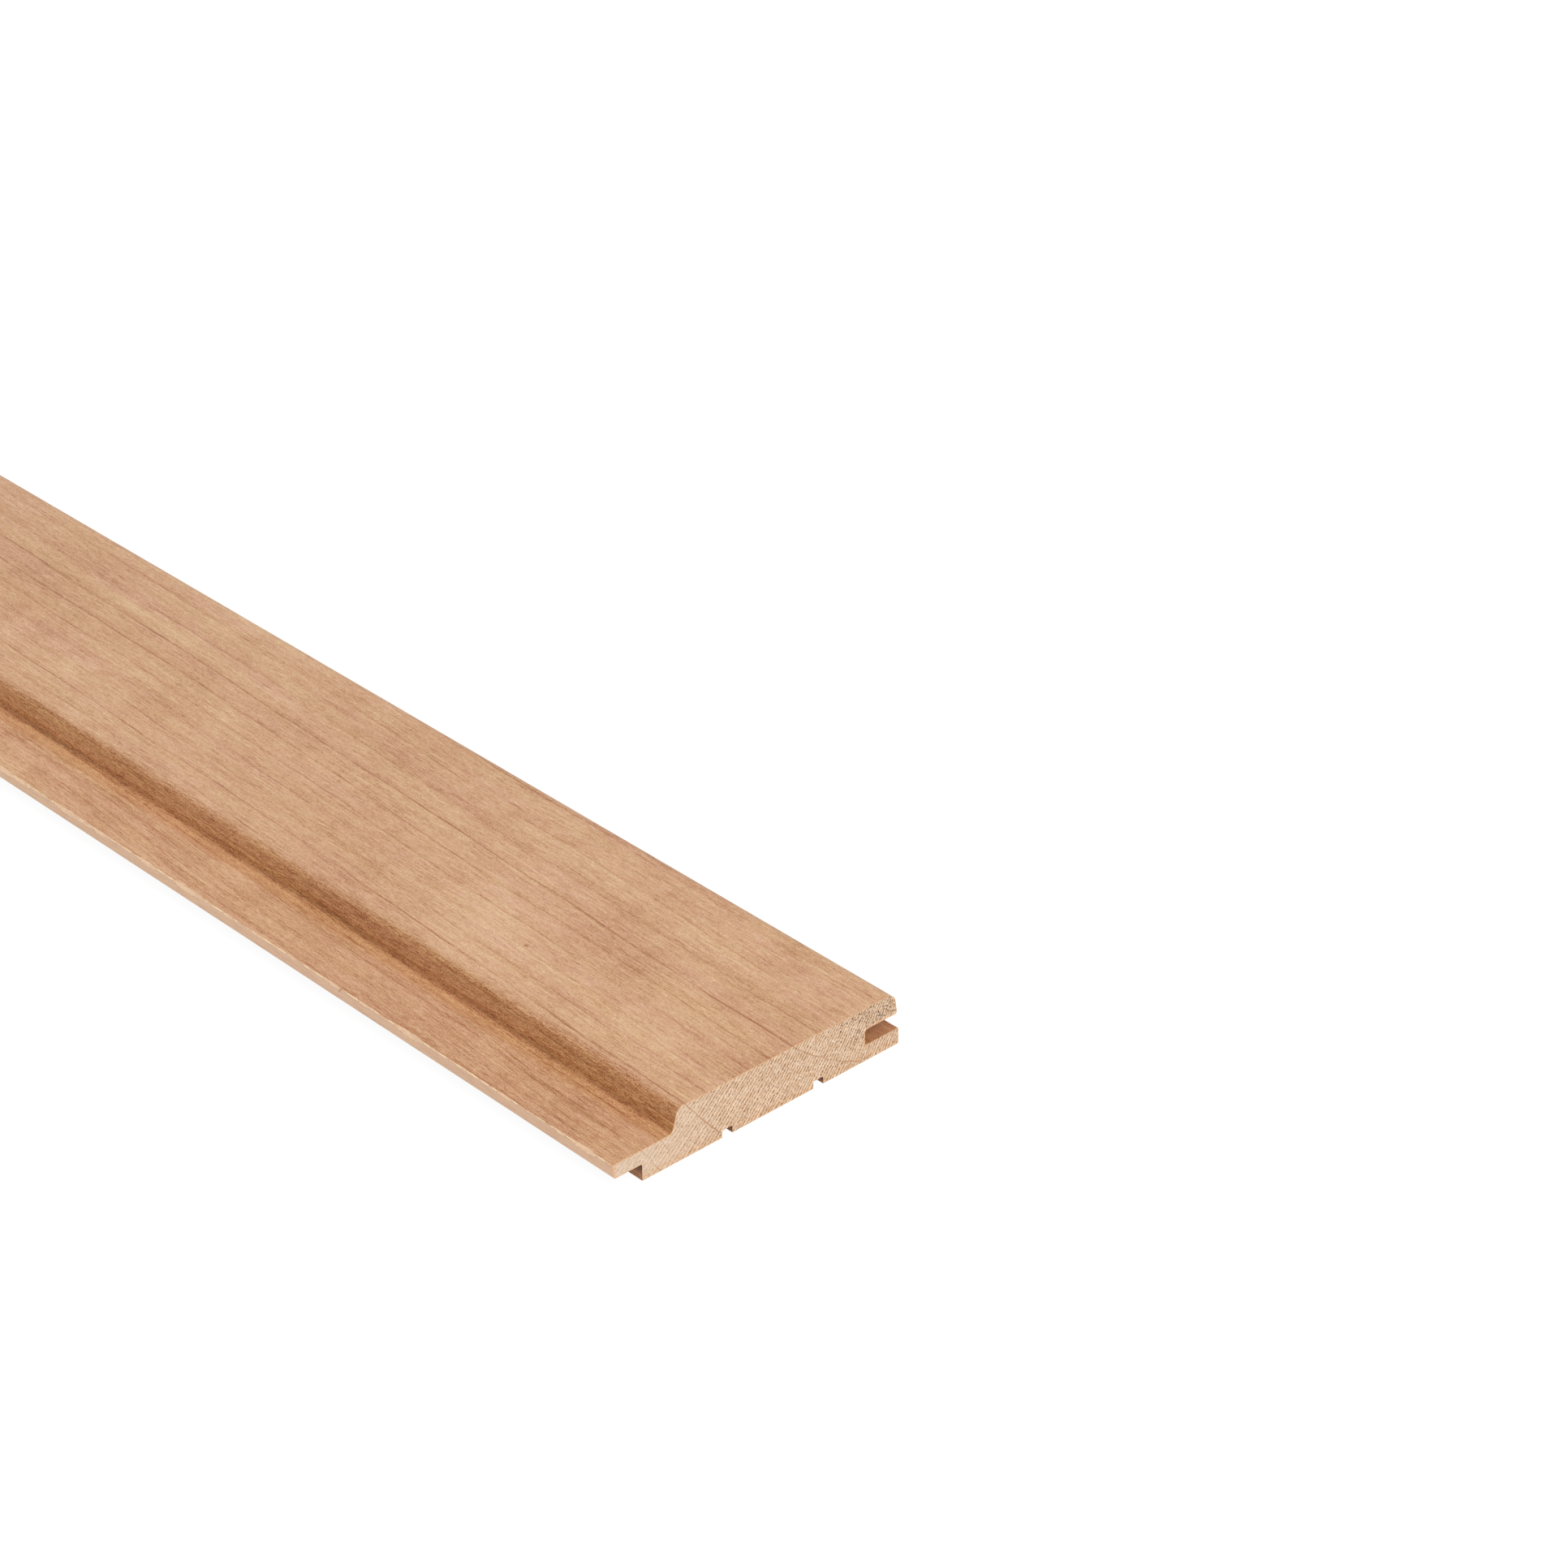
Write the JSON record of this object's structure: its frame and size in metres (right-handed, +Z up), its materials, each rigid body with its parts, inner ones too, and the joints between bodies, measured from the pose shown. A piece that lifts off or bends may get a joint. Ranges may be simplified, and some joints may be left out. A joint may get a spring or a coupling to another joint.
{
  "type": "sauna panelling board",
  "caption": "Long moulded wall board of alder with a tongue, a grooved edge, a stepped shadow-gap face and relief kerfs in its back.",
  "frame": {"origin": "middle of the board's underside, halfway along its length and halfway between the tongue's tip and the lower lip's edge", "axes": "+X across the board from tongue to groove, +Y along its length, +Z up out of the face"},
  "size_m": [0.09, 1.8, 0.015],
  "materials": {
    "planed_alder": "planed, unfinished, with fuzzy sawn ends"
  },
  "bodies": {
    "root": {"panelling_board": "planed_alder"}
  },
  "joints": []
}
